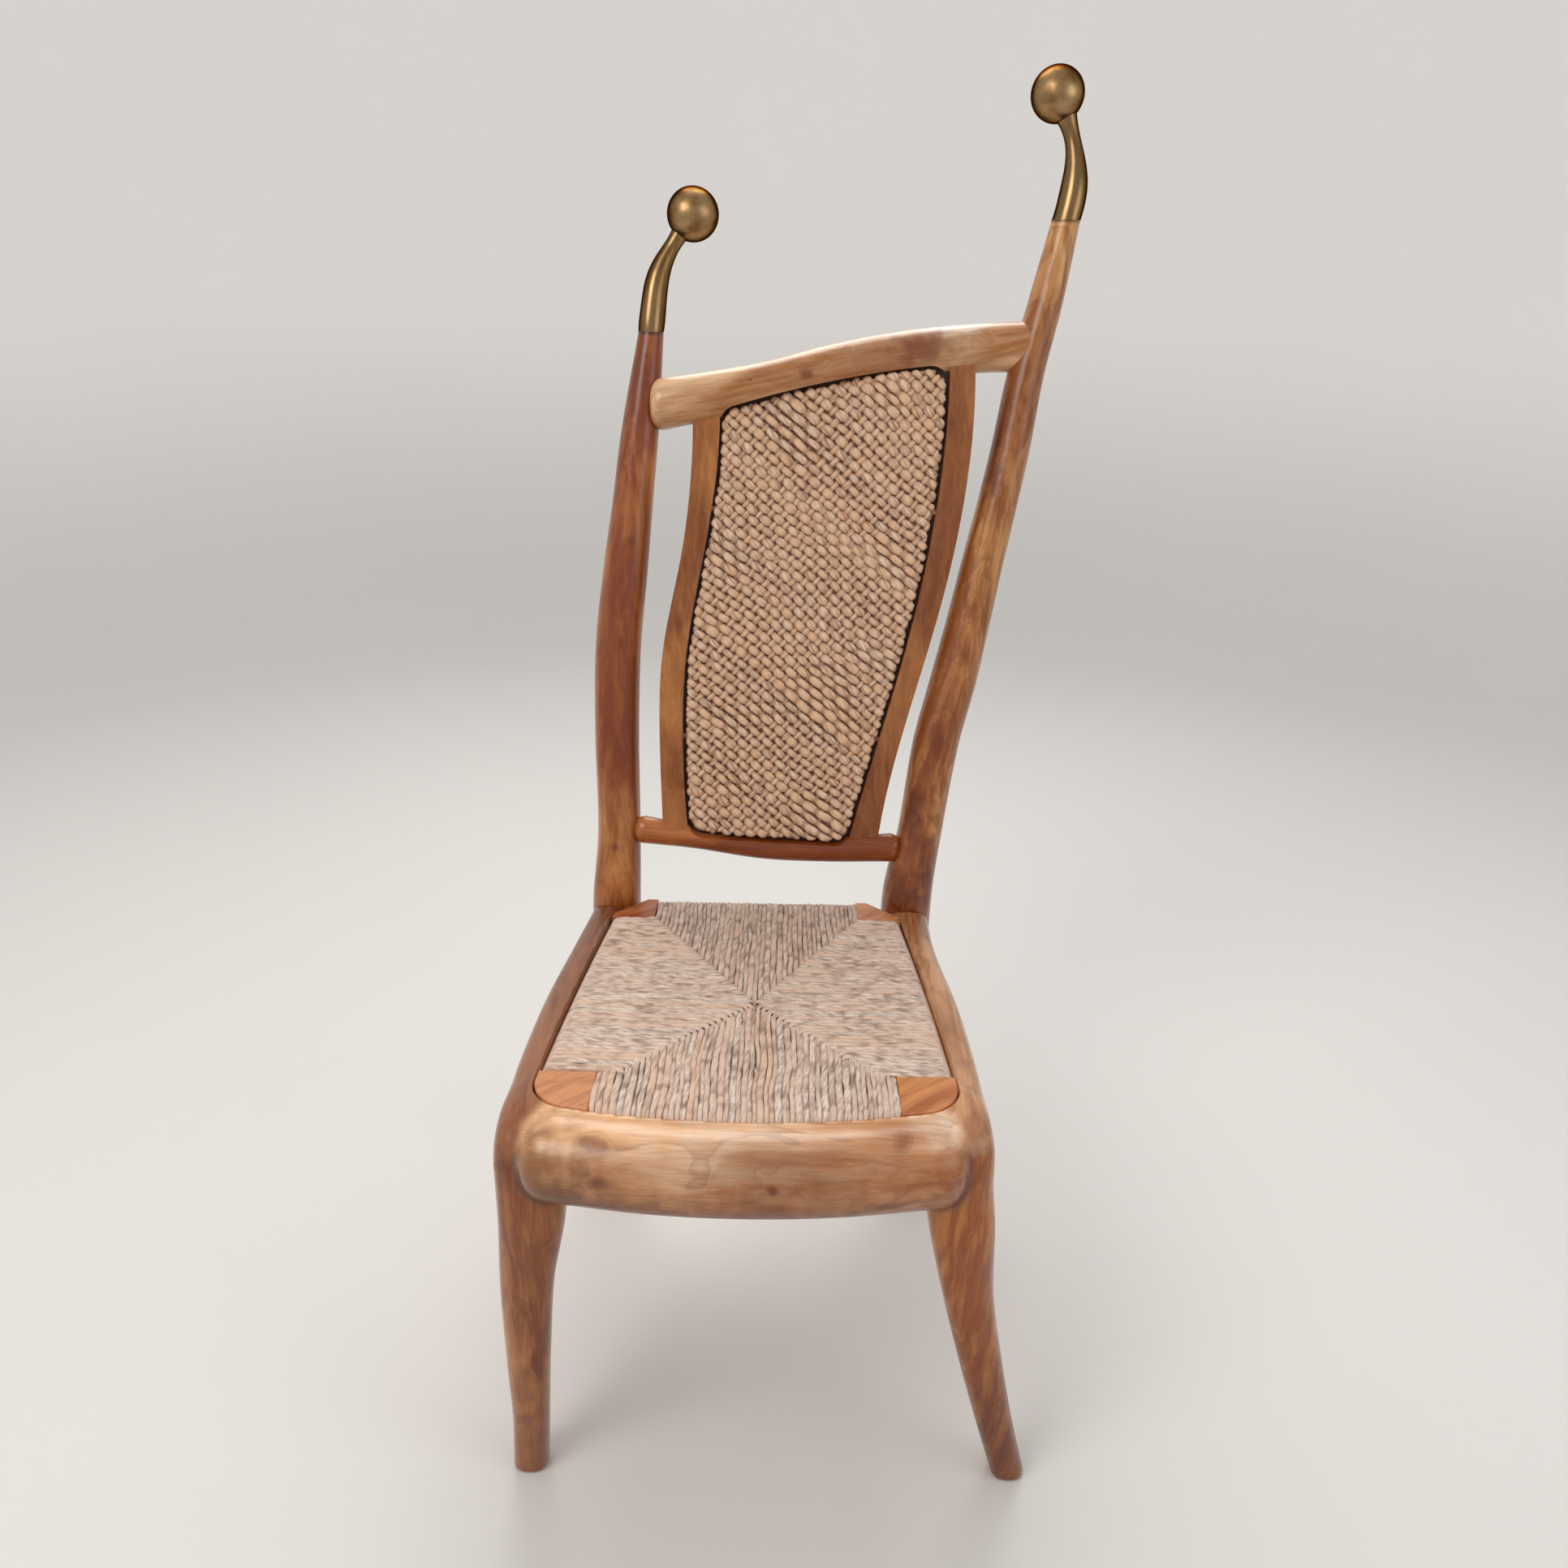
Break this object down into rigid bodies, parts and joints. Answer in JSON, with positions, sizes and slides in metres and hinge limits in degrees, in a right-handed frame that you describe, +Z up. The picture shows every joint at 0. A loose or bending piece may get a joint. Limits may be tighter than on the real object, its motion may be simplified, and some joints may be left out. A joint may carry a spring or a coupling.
{
  "type": "high-backed chair",
  "caption": "Sculptural high-backed low chair: carved hardwood frame, drop-in rush seat, woven back panel, brass ball finials on uneven posts.",
  "frame": {"origin": "middle of the whole object's footprint box, on the floor", "axes": "+Z up, -Y the way a sitter faces, +X to the viewer's right when seen from the front"},
  "size_m": [0.5806, 0.658, 1.3577],
  "materials": {
    "frame_wood": "satin varnished reddish honey hardwood",
    "block_wood": "satin varnished orange-brown hardwood",
    "seat_rail_wood": "plain planed hardwood",
    "dowel_wood": "plain turned dowel",
    "panel_board_wood": "plain board",
    "woven_panel_fibre": "diagonal weave of twisted natural cord",
    "rush_cord": "coarse twisted rush cord",
    "neck_brass": "polished brass",
    "ball_brass": "satin brass",
    "stud_steel": "plain threaded rod"
  },
  "bodies": {
    "frame": {"left_back_post": "frame_wood", "right_back_post": "frame_wood", "crest_rail": "frame_wood", "lower_back_rail": "frame_wood", "left_back_slat": "frame_wood", "right_back_slat": "frame_wood", "front_rail": "frame_wood", "left_side_rail": "frame_wood", "right_side_rail": "frame_wood", "left_front_leg": "frame_wood", "right_front_leg": "frame_wood", "rear_seat_rail": "frame_wood", "front_rail_dowels": "dowel_wood", "side_rail_dowels": "dowel_wood", "rear_rail_dowels": "dowel_wood", "leg_dowels": "dowel_wood", "crest_dowels": "dowel_wood", "lower_rail_dowels": "dowel_wood", "panel_dowels": "dowel_wood", "left_neck_stud": "stud_steel", "right_neck_stud": "stud_steel", "left_ball_stud": "stud_steel", "right_ball_stud": "stud_steel", "left_finial_neck": "neck_brass", "right_finial_neck": "neck_brass", "left_finial_ball": "ball_brass", "right_finial_ball": "ball_brass", "panel_board": "panel_board_wood", "woven_back_panel": "woven_panel_fibre"},
    "drop_in_seat": {"front_left_block": "block_wood", "front_right_block": "block_wood", "rear_left_block": "block_wood", "rear_right_block": "block_wood", "seat_front_rail": "seat_rail_wood", "seat_rear_rail": "seat_rail_wood", "seat_left_rail": "seat_rail_wood", "seat_right_rail": "seat_rail_wood", "rush_seat": "rush_cord"}
  },
  "joints": [
    {"name": "seat_lift", "type": "slide", "parent": "frame", "child": "drop_in_seat", "axis": [0, 0, 1], "range_m": [0, 0.08]}
  ]
}
